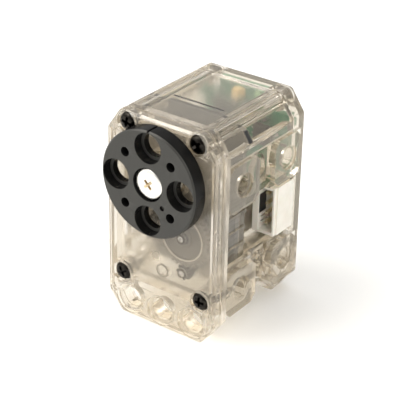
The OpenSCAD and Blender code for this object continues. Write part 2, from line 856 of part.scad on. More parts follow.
module gear_2_pinion() {
    bore_r = axle_r + running_gap;
    color("#333333") case_frame() difference() {
        union() {
            rod_y(axis_2, 1.6, wheel_2_y[0], wheel_2_y[1] + thin);
            spur(axis_2, axis_3, pinion_2_teeth, mid_module, [wheel_2_y[1], 6.6], bore_r, true);
            rod_y(axis_2, sleeve_r, 6.5, sleeve_end);
        }
        rod_y(axis_2, bore_r, 0, case_d);
    }
}

module gear_1_wheel() {
    color("dimgray") case_frame()
        spur(axis_1, motor_axis, wheel_1_teeth, fine_module, wheel_1_y, sleeve_r, false);
}

module gear_1_pinion() {
    bore_r = axle_r + running_gap;
    color("#333333") case_frame() difference() {
        union() {
            spur(axis_1, axis_2, pinion_1_teeth, fine_module, [2.6, 5], bore_r, true);
            rod_y(axis_1, sleeve_r, 4.9, sleeve_end);
        }
        rod_y(axis_1, bore_r, 0, case_d);
    }
}

module motor_shaft() {
    color("silver") case_frame() rod_y(motor_axis, motor_shaft_r, motor_shaft_y[0], motor_shaft_y[1]);
}

module motor_pinion() {
    color("gold") case_frame()
        spur(motor_axis, axis_1, motor_teeth, fine_module, [9.5, 11.4], motor_shaft_r, true);
}

front_cover();
main_housing();
rear_cover();
gear_plate();
front_bush();
rear_bush();
axle_1();
axle_2();
axle_3();
axle_washers();
motor_can();
motor_end_cap();
motor_terminals();
motor_screws();
position_sensor();
sensor_leads();
control_board();
microcontroller();
motor_driver();
capacitor();
crystal();
status_led();
chip_resistors();
connector_right();
connector_left();
connector_pins_right();
connector_pins_left();
front_screws();
rear_screws();
output_disc();
disc_screw();
output_shaft();
output_gear();
gear_3_wheel();
gear_3_pinion();
gear_2_wheel();
gear_2_pinion();
gear_1_wheel();
gear_1_pinion();
motor_shaft();
motor_pinion();
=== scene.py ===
import json
import math

import bmesh
import bpy
from mathutils import Matrix, Vector


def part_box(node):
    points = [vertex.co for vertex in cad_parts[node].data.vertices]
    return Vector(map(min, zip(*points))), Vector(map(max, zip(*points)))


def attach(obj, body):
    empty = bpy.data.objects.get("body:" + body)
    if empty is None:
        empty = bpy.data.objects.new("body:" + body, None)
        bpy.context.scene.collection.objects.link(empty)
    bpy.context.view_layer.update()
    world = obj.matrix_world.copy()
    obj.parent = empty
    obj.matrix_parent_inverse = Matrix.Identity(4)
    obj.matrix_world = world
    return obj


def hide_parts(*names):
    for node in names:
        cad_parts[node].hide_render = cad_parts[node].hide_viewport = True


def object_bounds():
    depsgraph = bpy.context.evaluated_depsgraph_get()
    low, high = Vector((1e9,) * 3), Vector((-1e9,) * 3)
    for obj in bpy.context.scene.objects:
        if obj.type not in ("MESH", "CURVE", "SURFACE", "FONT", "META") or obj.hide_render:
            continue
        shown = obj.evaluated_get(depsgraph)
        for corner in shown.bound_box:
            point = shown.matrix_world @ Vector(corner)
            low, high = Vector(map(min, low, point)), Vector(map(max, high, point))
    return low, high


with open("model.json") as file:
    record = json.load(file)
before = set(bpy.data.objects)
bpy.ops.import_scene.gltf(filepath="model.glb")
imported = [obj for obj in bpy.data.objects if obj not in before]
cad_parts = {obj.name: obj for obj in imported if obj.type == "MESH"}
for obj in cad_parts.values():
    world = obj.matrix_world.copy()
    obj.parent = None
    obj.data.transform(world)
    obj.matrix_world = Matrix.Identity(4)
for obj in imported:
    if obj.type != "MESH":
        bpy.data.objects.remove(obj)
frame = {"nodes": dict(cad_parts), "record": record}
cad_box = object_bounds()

MM = 0.001
NODES = frame["nodes"]
SCENE = bpy.context.scene
CENTRE = (Vector(cad_box[0]) + Vector(cad_box[1])) / 2


# ---------------------------------------------------------------- camera, light and floor

# Where the camera stands, in degrees and metres, and its lens in millimetres
CAMERA_AZIMUTH = 35.43
CAMERA_ELEVATION = 28.04
CAMERA_ROLL = 1.32
CAMERA_DISTANCE = 0.3278
CAMERA_LENS = 129.2
# The point that it faces, from the centre of the model's box, and where that falls in the frame
CAMERA_AIM = Vector((0, 2.05, 0.25)) * MM
CAMERA_SHIFT = (-0.0130, -0.0015)

# The sky is bright around one direction and dimmer away from it, with a dark card low in front
SKY_FROM = Vector((-0.55, -0.55, 0.63))
SKY_DIM = 0.62
SKY_BRIGHT = 1.25
CARD_FROM = Vector((0.22, -0.95, 0.20))
CARD_LEVEL = 0.3


def make_camera():
    azimuth, elevation, roll = (math.radians(a) for a in (CAMERA_AZIMUTH, CAMERA_ELEVATION, CAMERA_ROLL))
    back = Vector((math.sin(azimuth) * math.cos(elevation), -math.cos(azimuth) * math.cos(elevation),
                   math.sin(elevation)))
    data = bpy.data.cameras.new("camera")
    data.lens = CAMERA_LENS
    data.sensor_width = 36
    data.shift_x, data.shift_y = CAMERA_SHIFT
    data.clip_start = 0.01
    data.clip_end = 20
    camera = bpy.data.objects.new("camera", data)
    camera.location = CENTRE + CAMERA_AIM + back * CAMERA_DISTANCE
    facing = back.to_track_quat("Z", "Y").to_matrix()
    right = facing.col[0] * math.cos(roll) + facing.col[1] * math.sin(roll)
    up = facing.col[1] * math.cos(roll) - facing.col[0] * math.sin(roll)
    for axis, column in enumerate((right, up, back)):
        facing.col[axis] = column
    camera.rotation_euler = facing.to_euler()
    SCENE.collection.objects.link(camera)
    SCENE.camera = camera


def soft_light(name, place, size, power, colour=(1, 1, 1)):
    data = bpy.data.lights.new(name, "AREA")
    data.size = size
    data.energy = power
    data.color = colour
    lamp = bpy.data.objects.new(name, data)
    lamp.location = place
    lamp.rotation_euler = (Vector(place) - CENTRE).to_track_quat("Z", "Y").to_euler()
    SCENE.collection.objects.link(lamp)


def make_sky():
    world = bpy.data.worlds.new("studio")
    world.use_nodes = True
    tree = world.node_tree
    sky = tree.nodes["Background"]
    sky.inputs["Color"].default_value = (1.0, 0.99, 0.975, 1)
    place = tree.nodes.new("ShaderNodeTexCoord")
    strength = tree.nodes.new("ShaderNodeMath")
    strength.operation = "MULTIPLY"
    for slot, direction, span in ((0, SKY_FROM, (-0.2, 0.9, SKY_DIM, SKY_BRIGHT)),
                                  (1, CARD_FROM, (0.86, 0.96, 1.0, CARD_LEVEL))):
        toward = tree.nodes.new("ShaderNodeVectorMath")
        toward.operation = "DOT_PRODUCT"
        toward.inputs[1].default_value = direction
        tree.links.new(place.outputs["Generated"], toward.inputs[0])
        level = map_range(tree, toward.outputs["Value"], *span)
        tree.links.new(level, strength.inputs[slot])
    tree.links.new(strength.outputs[0], sky.inputs["Strength"])
    SCENE.world = world


def make_studio():
    make_sky()
    SCENE.view_settings.view_transform = "Standard"
    SCENE.cycles.use_denoising = True
    SCENE.cycles.max_bounces = 16
    SCENE.cycles.transmission_bounces = 14
    SCENE.cycles.transparent_max_bounces = 24
    soft_light("key", (-0.55, -0.5, 0.8), 0.7, 7.0, (1, 0.985, 0.96))
    soft_light("fill", (0.7, -0.35, 0.5), 0.6, 2.2)
    bpy.ops.mesh.primitive_plane_add(size=6, location=(0, 0, cad_box[0][2]))
    floor = bpy.context.object
    floor.name = "floor"
    floor.data.materials.append(floor_paper())


# ---------------------------------------------------------------- material helpers

def begin(name):
    made = bpy.data.materials.new(name)
    made.use_nodes = True
    tree = made.node_tree
    tree.nodes.clear()
    return made, tree, tree.nodes.new("ShaderNodeOutputMaterial")


def node(tree, kind, **values):
    made = tree.nodes.new("ShaderNode" + kind)
    for name, value in values.items():
        made.inputs[name.replace("_", " ")].default_value = value
    return made


def noise(tree, size_mm, detail=3.0, stretch=(1, 1, 1)):
    """Cloudy pattern with features about size_mm across, fixed to the object."""
    place = tree.nodes.new("ShaderNodeTexCoord")
    mapping = tree.nodes.new("ShaderNodeMapping")
    mapping.inputs["Scale"].default_value = stretch
    pattern = node(tree, "TexNoise", Scale=1 / (size_mm * MM), Detail=detail)
    tree.links.new(place.outputs["Object"], mapping.inputs["Vector"])
    tree.links.new(mapping.outputs["Vector"], pattern.inputs["Vector"])
    return pattern.outputs["Fac"]


def map_range(tree, value, from_low, from_high, to_low, to_high):
    ranged = tree.nodes.new("ShaderNodeMapRange")
    limits = {"From Min": from_low, "From Max": from_high, "To Min": to_low, "To Max": to_high}
    for name, number in limits.items():
        ranged.inputs[name].default_value = number
    tree.links.new(value, ranged.inputs["Value"])
    return ranged.outputs["Result"]


def spread(tree, value, low, high):
    """Stretches a noise value over the range from low to high."""
    return map_range(tree, value, 0.3, 0.7, low, high)


def tones(tree, value, dark, light):
    """Colour that runs from dark to light as a noise value rises."""
    ramp = tree.nodes.new("ShaderNodeValToRGB")
    for stop, place, colour in zip(ramp.color_ramp.elements, (0.3, 0.7), (dark, light)):
        stop.position = place
        stop.color = (*colour, 1)
    tree.links.new(value, ramp.inputs["Fac"])
    return ramp.outputs["Color"]


def relief(tree, height, strength, depth_mm):
    bump = node(tree, "Bump", Strength=strength, Distance=depth_mm * MM)
    tree.links.new(height, bump.inputs["Height"])
    return bump.outputs["Normal"]


def finish_surface(name, dark, light, rough, grain_mm, relief_mm, cloud_mm=2.5, stretch=(1, 1, 1), **fixed):
    """An opaque surface: two-tone colour, uneven gloss and a fine grain."""
    made, tree, out = begin(name)
    shader = node(tree, "BsdfPrincipled", **fixed)
    cloud = noise(tree, cloud_mm, 4.0)
    grain = noise(tree, grain_mm, 3.0, stretch)
    tree.links.new(tones(tree, cloud, dark, light), shader.inputs["Base Color"])
    tree.links.new(spread(tree, grain, *rough), shader.inputs["Roughness"])
    tree.links.new(relief(tree, grain, 0.6, relief_mm), shader.inputs["Normal"])
    tree.links.new(shader.outputs["BSDF"], out.inputs["Surface"])
    return made


def along(tree, vector, axis):
    """Size of a vector's part along an axis."""
    split = tree.nodes.new("ShaderNodeSeparateXYZ")
    size = tree.nodes.new("ShaderNodeMath")
    size.operation = "ABSOLUTE"
    tree.links.new(vector, split.inputs[0])
    tree.links.new(split.outputs[axis], size.inputs[0])
    return size.outputs[0]


def away(tree, axis):
    """Distance from the origin along an axis, in metres."""
    return along(tree, tree.nodes.new("ShaderNodeTexCoord").outputs["Object"], axis)


def facing(tree, axis):
    """How squarely a face looks along an axis, from 0 to 1."""
    return along(tree, tree.nodes.new("ShaderNodeNewGeometry").outputs["True Normal"], axis)


def product(tree, first, second):
    both = tree.nodes.new("ShaderNodeMath")
    both.operation = "MULTIPLY"
    tree.links.new(first, both.inputs[0])
    tree.links.new(second, both.inputs[1])
    return both.outputs[0]


def blend(tree, factor, low, high):
    mixed = tree.nodes.new("ShaderNodeMix")
    for name, value in (("Factor", factor), ("A", low), ("B", high)):
        tree.links.new(value, mixed.inputs[name])
    return mixed.outputs["Result"]


def clear_plastic(name, tint, depth_tint, fog, haze, rough, frost_axis, frost_within, frost, shade):
    """Clear moulded plastic that darkens with depth; lamps reach through it.

    It is hazier toward its sides, and its inner faces across one axis are frosted.
    """
    made, tree, out = begin(name)
    glass = node(tree, "BsdfPrincipled", Base_Color=(*tint, 1), IOR=1.5, Transmission_Weight=1.0)
    flow = noise(tree, 9.0, 2.0)
    grain = noise(tree, 1.2, 3.0)
    flat = map_range(tree, facing(tree, frost_axis), 0.9, 0.99, 0, 1)
    frost_from, frost_to = (frost_within - 0.1) * MM, (frost_within + 0.1) * MM
    inner = map_range(tree, away(tree, frost_axis), frost_from, frost_to, 1, 0)
    gloss = blend(tree, product(tree, flat, inner), spread(tree, grain, *rough), spread(tree, flow, *frost))
    tree.links.new(gloss, glass.inputs["Roughness"])
    tree.links.new(relief(tree, flow, 0.3, 0.08), glass.inputs["Normal"])
    thick = node(tree, "VolumeAbsorption", Color=(*depth_tint, 1), Density=50)
    tree.links.new(thick.outputs[0], out.inputs["Volume"])
    cloudy = node(tree, "BsdfDiffuse", Color=(*fog, 1))
    through = node(tree, "BsdfTranslucent", Color=(*fog, 1))
    both = node(tree, "MixShader", Fac=0.5)
    body = tree.nodes.new("ShaderNodeMixShader")
    middle, side, from_mm, to_mm, top_mm = haze
    low = map_range(tree, away(tree, "Z"), top_mm * MM, (top_mm + 0.4) * MM, 1, 0)
    beside = map_range(tree, away(tree, "X"), from_mm * MM, to_mm * MM, 0, 1)
    tree.links.new(map_range(tree, product(tree, low, beside), 0, 1, middle, side), body.inputs["Fac"])
    lamps = node(tree, "BsdfTransparent", Color=(*shade, 1))
    path = tree.nodes.new("ShaderNodeLightPath")
    whole = tree.nodes.new("ShaderNodeMixShader")
    tree.links.new(cloudy.outputs[0], both.inputs[1])
    tree.links.new(through.outputs[0], both.inputs[2])
    tree.links.new(glass.outputs[0], body.inputs[1])
    tree.links.new(both.outputs[0], body.inputs[2])
    tree.links.new(path.outputs["Is Shadow Ray"], whole.inputs["Fac"])
    tree.links.new(body.outputs[0], whole.inputs[1])
    tree.links.new(lamps.outputs[0], whole.inputs[2])
    tree.links.new(whole.outputs[0], out.inputs["Surface"])
    return made


def moulded_disc():
    """Black plastic whose flat faces are satin and whose rim and bores are glossy."""
    made, tree, out = begin("black_disc")
    shader = node(tree, "BsdfPrincipled", IOR=1.62, Specular_Tint=(1, 0.98, 0.89, 1))
    grain = noise(tree, 0.22, 3.0)
    flat = facing(tree, "Y")
    tree.links.new(blend(tree, flat, spread(tree, grain, 0.14, 0.24), spread(tree, grain, 0.42, 0.58)),
                   shader.inputs["Roughness"])
    tree.links.new(map_range(tree, flat, 0, 1, 0.05, 0.56), shader.inputs["Specular IOR Level"])
    tree.links.new(tones(tree, noise(tree, 3.0, 4.0), (0.006, 0.006, 0.006), (0.011, 0.0105, 0.010)),
                   shader.inputs["Base Color"])
    tree.links.new(relief(tree, grain, 0.6, 0.006), shader.inputs["Normal"])
    tree.links.new(shader.outputs["BSDF"], out.inputs["Surface"])
    return made


# ---------------------------------------------------------------- materials

def floor_paper():
    return finish_surface("floor_paper", (0.94, 0.94, 0.93), (0.97, 0.97, 0.96), (0.7, 0.9), 1.5, 0.01, 40)


def make_materials():
    metal = {"Metallic": 1.0}
    return {
        "clear_shell": clear_plastic(
            "smoky_clear", tint=(0.96, 0.94, 0.905), depth_tint=(0.66, 0.56, 0.38), fog=(0.84, 0.77, 0.65),
            haze=(0.14, 0.17, 11, 15, 60), rough=(0.02, 0.06),
            frost_axis="Y", frost_within=14.3, frost=(0.22, 0.28), shade=(0.93, 0.91, 0.87)),
        "clear_body": clear_plastic(
            "frosted_clear", tint=(0.92, 0.895, 0.85), depth_tint=(0.66, 0.56, 0.38), fog=(0.74, 0.68, 0.56),
            haze=(0.075, 0.24, 13.2, 14.4, 43.4), rough=(0.04, 0.09),
            frost_axis="Z", frost_within=50.5, frost=(0.20, 0.26), shade=(0.92, 0.90, 0.86)),
        "black_disc": moulded_disc(),
        "black_screw": finish_surface(
            "black_oxide", (0.010, 0.009, 0.008), (0.042, 0.038, 0.032), (0.08, 0.26),
            0.35, 0.05, 0.6, **metal),
        "nickel_screw": finish_surface(
            "nickel", (0.80, 0.77, 0.70), (0.95, 0.93, 0.89), (0.14, 0.32),
            0.2, 0.008, 1.2, **metal),
        "worn_brass": finish_surface(
            "worn_brass", (0.46, 0.33, 0.17), (0.86, 0.76, 0.56), (0.3, 0.55),
            0.12, 0.02, 0.35, **metal),
        "dark_plastic": finish_surface(
            "dark_plate", (0.072, 0.070, 0.064), (0.10, 0.097, 0.088), (0.35, 0.55),
            0.3, 0.01),
        "pinion_steel": finish_surface(
            "pinion_steel", (0.02, 0.018, 0.017), (0.05, 0.045, 0.04), (0.2, 0.4),
            0.15, 0.006, **metal),
        "brass": finish_surface(
            "brass", (0.80, 0.70, 0.48), (0.93, 0.86, 0.68), (0.18, 0.34),
            0.2, 0.005, **metal),
        "steel": finish_surface(
            "steel", (0.48, 0.48, 0.49), (0.66, 0.66, 0.66), (0.2, 0.36),
            0.2, 0.005, **metal),
        "solder": finish_surface(
            "solder", (0.55, 0.55, 0.54), (0.75, 0.75, 0.74), (0.2, 0.4),
            0.25, 0.01, 0.6, **metal),
        "motor_steel": finish_surface(
            "motor_steel", (0.22, 0.20, 0.17), (0.34, 0.31, 0.26), (0.28, 0.42),
            0.25, 0.008, stretch=(1, 0.1, 1), **metal),
        "cap_plastic": finish_surface(
            "cap_plastic", (0.40, 0.38, 0.33), (0.50, 0.47, 0.41), (0.4, 0.55),
            0.3, 0.01),
        "sensor_plastic": finish_surface(
            "sensor_plastic", (0.022, 0.026, 0.036), (0.036, 0.042, 0.055), (0.35, 0.5),
            0.3, 0.01),
        "board_green": finish_surface(
            "solder_mask", (0.008, 0.14, 0.065), (0.016, 0.20, 0.10), (0.2, 0.34),
            0.5, 0.004, 5.0, Coat_Weight=0.4, Coat_Roughness=0.12),
        "track_green": finish_surface(
            "mask_over_copper", (0.02, 0.23, 0.10), (0.03, 0.28, 0.13), (0.2, 0.3),
            0.5, 0.002, 2.0, Coat_Weight=0.4, Coat_Roughness=0.12),
        "chip_black": finish_surface(
            "chip_epoxy", (0.014, 0.014, 0.015), (0.03, 0.03, 0.03), (0.45, 0.65),
            0.12, 0.01),
        "ceramic": finish_surface(
            "ceramic", (0.30, 0.20, 0.12), (0.42, 0.30, 0.19), (0.35, 0.5),
            0.15, 0.006),
        "capacitor_orange": finish_surface(
            "tantalum_case", (0.88, 0.56, 0.18), (0.95, 0.76, 0.42), (0.2, 0.35),
            0.25, 0.008),
        "led_green": finish_surface(
            "led_lens", (0.20, 0.42, 0.20), (0.32, 0.55, 0.30), (0.1, 0.2),
            0.3, 0.004),
        "white_nylon": finish_surface(
            "white_nylon", (0.76, 0.72, 0.63), (0.83, 0.79, 0.71), (0.38, 0.55),
            0.3, 0.01, Subsurface_Weight=0.1, Subsurface_Scale=0.0006),
        "gear_metal": finish_surface(
            "gear_dark", (0.17, 0.155, 0.135), (0.25, 0.23, 0.20), (0.3, 0.46),
            0.2, 0.008, **metal),
        # Light nylon for the bead on the large gear's ring: a painted highlight for the bright line along
        # the ring
        "gear_ring_highlight": finish_surface(
            "gear_ring_highlight", (0.58, 0.54, 0.46), (0.72, 0.68, 0.60), (0.15, 0.3),
            0.2, 0.006),
        "gear_clear": finish_surface(
            "gear_nylon", (0.12, 0.105, 0.085), (0.16, 0.14, 0.115), (0.3, 0.42),
            0.3, 0.008),
    }


# ---------------------------------------------------------------- CAD nodes

def soften_edges(piece, width_mm, shrink_mm=0.0):
    """Joins the mesh's split corners, rounds its edges and, for clear parts, draws the skin in a hair."""
    weld = piece.modifiers.new("weld", "WELD")
    weld.merge_threshold = 1e-6
    rounding = piece.modifiers.new("rounding", "BEVEL")
    rounding.width = width_mm * MM
    rounding.segments = 2
    rounding.limit_method = "ANGLE"
    rounding.angle_limit = math.radians(35)
    rounding.harden_normals = False
    if shrink_mm:
        draw_in = piece.modifiers.new("draw_in", "DISPLACE")
        draw_in.strength = -shrink_mm * MM
        draw_in.mid_level = 0
    smooth = piece.modifiers.new("smooth", "WEIGHTED_NORMAL")
    smooth.keep_sharp = True
    for face in piece.data.polygons:
        face.use_smooth = True


def dress_nodes(materials):
    slots = {part["node"]: part["material_slot"] for part in frame["record"]["subparts"]}
    clear = ("front_cover", "main_housing", "rear_cover")
    for name, piece in NODES.items():
        piece.data.materials.clear()
        piece.data.materials.append(materials[slots[name]])
        if name in clear:
            soften_edges(piece, 0.12, 0.02)
        elif name in ("output_disc", "gear_2_wheel"):
            soften_edges(piece, 0.1)
        elif not name.startswith(("axle", "sensor_leads", "motor_shaft")):
            soften_edges(piece, 0.05)


# ---------------------------------------------------------------- mesh helpers

def corners(name):
    low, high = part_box(name)
    return Vector(low), Vector(high)


def islands(name):
    """Lowest and highest corners of each separate solid in a CAD node, in order of their centres."""
    mesh = NODES[name].data
    keys = [tuple(round(c * 1e7) for c in vertex.co) for vertex in mesh.vertices]
    parent = {key: key for key in keys}

    def root(key):
        while parent[key] != key:
            parent[key] = parent[parent[key]]
            key = parent[key]
        return key

    for face in mesh.polygons:
        first = root(keys[face.vertices[0]])
        for index in face.vertices[1:]:
            parent[root(keys[index])] = first
    groups = {}
    for key, vertex in zip(keys, mesh.vertices):
        groups.setdefault(root(key), []).append(vertex.co)
    boxes = [tuple(Vector(pick(p[a] for p in points) for a in range(3)) for pick in (min, max))
             for points in groups.values()]
    return sorted(boxes, key=lambda box: tuple(round(c, 5) for c in (box[0] + box[1]) / 2))


def add_turned(bm, place, profile, steps=40, spin=0.0):
    """Closed solid turned about an axis along Y through place, from (radius, y) points in mm."""
    rings = []
    for radius, y in profile:
        if radius == 0:
            rings.append([bm.verts.new(place + Vector((0, y, 0)) * MM)])
            continue
        turns = [spin + 2 * math.pi * k / steps for k in range(steps)]
        rings.append([bm.verts.new(place + Vector((radius * math.cos(t), y, radius * math.sin(t))) * MM)
                      for t in turns])
    for near, far in zip(rings, rings[1:]):
        for k in range(steps):
            after = (k + 1) % steps
            quad = [near[k % len(near)], near[after % len(near)], far[after % len(far)], far[k % len(far)]]
            bm.faces.new(list(dict.fromkeys(quad)))


def add_block(bm, low, high):
    """Box between two corners in metres."""
    size = high - low
    placed = Matrix.Translation((low + high) / 2) @ Matrix.Diagonal((*size, 1))
    bmesh.ops.create_cube(bm, size=1, matrix=placed)


def finish_piece(name, bm, material, body="housing", rounding_mm=0.0, smooth=True):
    bmesh.ops.recalc_face_normals(bm, faces=bm.faces)
    mesh = bpy.data.meshes.new(name)
    bm.to_mesh(mesh)
    bm.free()
    made = bpy.data.objects.new(name, mesh)
    made.data.materials.append(material)
    SCENE.collection.objects.link(made)
    for face in mesh.polygons:
        face.use_smooth = smooth
    if rounding_mm:
        edges = made.modifiers.new("rounding", "BEVEL")
        edges.width = rounding_mm * MM
        edges.segments = 2
        edges.limit_method = "ANGLE"
        edges.angle_limit = math.radians(30)
    if smooth:
        even = made.modifiers.new("even", "WEIGHTED_NORMAL")
        even.keep_sharp = True
    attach(made, body)
    return made


# ---------------------------------------------------------------- screws

def add_thread(bm, place, toward, start, length, root_r, crest_r, pitch):
    """Threaded shank from start to start + length mm along toward (+1 or -1 in Y)."""
    steps, rings_per_turn = 20, 6
    rings = round(length / pitch * rings_per_turn)
    loops = []
    for i in range(rings + 1):
        along = length * i / rings
        taper = min(1.0, (length - along) / pitch + 0.35)
        loop = []
        for k in range(steps):
            phase = (along / pitch - toward * k / steps) % 1
            height = max(0.0, 1 - abs(phase - 0.5) * 3.2)
            radius = (root_r + (crest_r - root_r) * height) * taper
            turn = 2 * math.pi * k / steps
            loop.append(bm.verts.new(place + Vector((radius * math.cos(turn), toward * (start + along),
                                                     radius * math.sin(turn))) * MM))
        loops.append(loop)
    for near, far in zip(loops, loops[1:]):
        for k in range(steps):
            after = (k + 1) % steps
            bm.faces.new((near[k], near[after], far[after], far[k]))
    bm.faces.new(loops[0])
    bm.faces.new(loops[-1][::-1])


def add_cross_cutter(bm, place, toward, face, depth, reach, width, turn):
    """Two crossed tapering wings and a cone, which cut the driver recess of a screw head."""
    for quarter in (0, math.pi / 2):
        across = Vector((math.cos(turn + quarter), 0, math.sin(turn + quarter)))
        beside = Vector((-across.z, 0, across.x))
        out = Vector((0, -toward, 0))
        top, deep = [], []
        for u, v in ((-1, -1), (1, -1), (1, 1), (-1, 1)):
            top.append(bm.verts.new(place + (across * u * reach * 1.08 + beside * v * width * 0.55
                                             - out * (face - 0.1)) * MM))
            deep.append(bm.verts.new(place + (across * u * reach * 0.6 + beside * v * width * 0.36
                                              - out * (face + depth)) * MM))
        bm.faces.new(top)
        bm.faces.new(deep[::-1])
        for k in range(4):
            bm.faces.new((top[k], deep[k], deep[(k + 1) % 4], top[(k + 1) % 4]))


def cut_with(made, cutter_bm, material=None):
    """Cuts a closed mesh out of an object for good; the cut walls take the second material."""
    bmesh.ops.recalc_face_normals(cutter_bm, faces=cutter_bm.faces)
    mesh = bpy.data.meshes.new("cutter")
    cutter_bm.to_mesh(mesh)
    cutter_bm.free()
    if material:
        mesh.materials.append(material)
    tool = bpy.data.objects.new("cutter", mesh)
    SCENE.collection.objects.link(tool)
    cut = made.modifiers.new("cut", "BOOLEAN")
    cut.object = tool
    cut.operation = "DIFFERENCE"
    cut.solver = "EXACT"
    cut.use_self = True
    cut.material_mode = "TRANSFER"
    bpy.context.view_layer.update()
    graph = bpy.context.evaluated_depsgraph_get()
    result = bpy.data.meshes.new_from_object(made.evaluated_get(graph))
    made.modifiers.clear()
    made.data = result
    bpy.data.objects.remove(tool)


def make_cover_screws(node_name, toward, material):
    """Domed cross-head screws with threaded shanks; toward is +1 where they point to +Y."""
    bm = bmesh.new()
    cutter = bmesh.new()
    head_t, head_r = 1.15, 2.25
    for index, (low, high) in enumerate(islands(node_name)):
        top = low.y if toward > 0 else high.y
        place = Vector(((low.x + high.x) / 2, top, (low.z + high.z) / 2))
        length = (high.y - low.y) / MM
        dome = [(0, 0), (0.9, 0.02), (1.5, 0.16), (1.9, 0.4), (2.14, 0.72), (head_r, 1.02),
                (head_r - 0.04, head_t), (0, head_t)]
        add_turned(bm, place, [(r, toward * y) for r, y in dome], 48)
        add_thread(bm, place, toward, head_t - 0.05, length - head_t + 0.05, 0.72, 0.94, 0.62)
        add_cross_cutter(cutter, place, toward, 0, 0.75, 1.35, 0.62, 0.5 + 0.9 * index)
    made = finish_piece(node_name + "_threaded", bm, material)
    cut_with(made, cutter)
    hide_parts(node_name)


def make_disc_screw(materials):
    low, high = corners("disc_screw")
    place = Vector(((low.x + high.x) / 2, low.y, (low.z + high.z) / 2))
    radius = (high.x - low.x) / 2 / MM
    length = (high.y - low.y) / MM
    head_t = 2.4
    bm = bmesh.new()
    add_turned(bm, place, [(0, 0), (1.6, 0.02), (2.5, 0.09), (3.1, 0.22), (3.5, 0.4),
                           (radius, 0.62), (radius, head_t), (0, head_t)], 72)
    add_thread(bm, place, 1, head_t - 0.05, length - head_t + 0.05, 1.0, 1.24, 0.7)
    made = finish_piece("disc_screw_threaded", bm, materials["nickel_screw"], "output")
    cutter = bmesh.new()
    add_cross_cutter(cutter, place, 1, 0, 0.7, 1.25, 0.6, 0.75)
    cut_with(made, cutter, materials["worn_brass"])
    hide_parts("disc_screw")


# ---------------------------------------------------------------- electronics

def board_faces():
    low, high = corners("control_board")
    return low.y, high.y


def make_solder(materials):
    """A fillet of solder round each pin, lead and terminal on the back of the board."""
    back = board_faces()[1]
    bm = bmesh.new()
    for name in ("connector_pins_right", "connector_pins_left", "sensor_leads", "motor_terminals"):
        for low, high in islands(name):
            place = Vector(((low.x + high.x) / 2, back, (low.z + high.z) / 2))
            reach = max(high.x - low.x, high.z - low.z) / 2 / MM
            fillet = [(0, -0.02), (reach + 0.42, -0.02), (reach + 0.28, 0.06),
                      (reach + 0.08, 0.15), (reach * 0.7, 0.26), (0, 0.3)]
            add_turned(bm, place, fillet, 20)
    finish_piece("solder_joints", bm, materials["solder"])


def add_track(bm, points, y, width, thickness):
    """Flat copper track of square-ended stretches through (x, z) points in mm."""
    for (x0, z0), (x1, z1) in zip(points, points[1:]):
        along = Vector((x1 - x0, 0, z1 - z0))
        if along.length < 1e-6:
            continue
        along.normalize()
        side = Vector((-along.z, 0, along.x)) * width / 2
        ends = [Vector((x0, y, z0)) - along * width / 2, Vector((x1, y, z1)) + along * width / 2]
        base = [bm.verts.new((p + s) * MM) for p, s in
                ((ends[0], side), (ends[1], side), (ends[1], -side), (ends[0], -side))]
        lifted = [bm.verts.new(v.co + Vector((0, thickness * MM, 0))) for v in base]
        bm.faces.new(base)
        bm.faces.new(lifted[::-1])
        for k in range(4):
            bm.faces.new((base[k], lifted[k], lifted[(k + 1) % 4], base[(k + 1) % 4]))


def make_tracks(materials):
    """Tracks and plated holes on the back of the board."""
    back = board_faces()[1] / MM
    tracks, vias = bmesh.new(), bmesh.new()
    ends = []
    for side, name in ((1, "connector_pins_right"), (-1, "connector_pins_left")):
        for k, (low, high) in enumerate(islands(name)):
            x, z = (low.x + high.x) / 2 / MM, (low.z + high.z) / 2 / MM
            turn_x = side * (8.4 - 1.1 * k)
            top = 33.2 + 1.7 * ((k * 3 + (side > 0)) % 4)
            bend = 0.8
            route = [(x, z), (turn_x + side * bend, z), (turn_x, z + bend), (turn_x, top)]
            add_track(tracks, route, back, 0.35, 0.03)
            ends.append((turn_x, top))
    for k, (low, high) in enumerate(islands("sensor_leads")):
        x, z = (low.x + high.x) / 2 / MM, (low.z + high.z) / 2 / MM
        add_track(tracks, [(x, z), (x, 38.5 + k), (x - 1.2, 39.7 + k), (x - 1.2, 42.4)], back, 0.3, 0.03)
        ends.append((x - 1.2, 42.4))
    for k, (low, high) in enumerate(islands("motor_terminals")):
        x, z = (low.x + high.x) / 2 / MM, (low.z + high.z) / 2 / MM
        add_track(tracks, [(x, z), (x, 25 + 2 * k), (x + 1.6, 26.6 + 2 * k), (x + 1.6, 31)], back, 0.9, 0.03)
        ends.append((x + 1.6, 31))
    for row in range(5):
        z = 35.2 + 2.1 * row
        add_track(tracks, [(-9.6, z), (-6.4 - 0.4 * row, z), (-5.6 - 0.4 * row, z + 0.8)], back, 0.22, 0.03)
        add_track(tracks, [(9.6, z), (6.6, z), (5.8, z + 0.8), (3.4 + 0.5 * row, z + 0.8)], back, 0.22, 0.03)
        ends += [(-5.6 - 0.4 * row, z + 0.8), (3.4 + 0.5 * row, z + 0.8)]
    ring = [(0.16, -0.01), (0.42, -0.01), (0.42, 0.045), (0.16, 0.045), (0.16, -0.01)]
    for x, z in ends:
        add_turned(vias, Vector((x, back, z)) * MM, ring, 16)
    bmesh.ops.remove_doubles(vias, verts=vias.verts, dist=1e-7)
    finish_piece("board_tracks", tracks, materials["track_green"], smooth=False)
    finish_piece("board_vias", vias, materials["solder"])


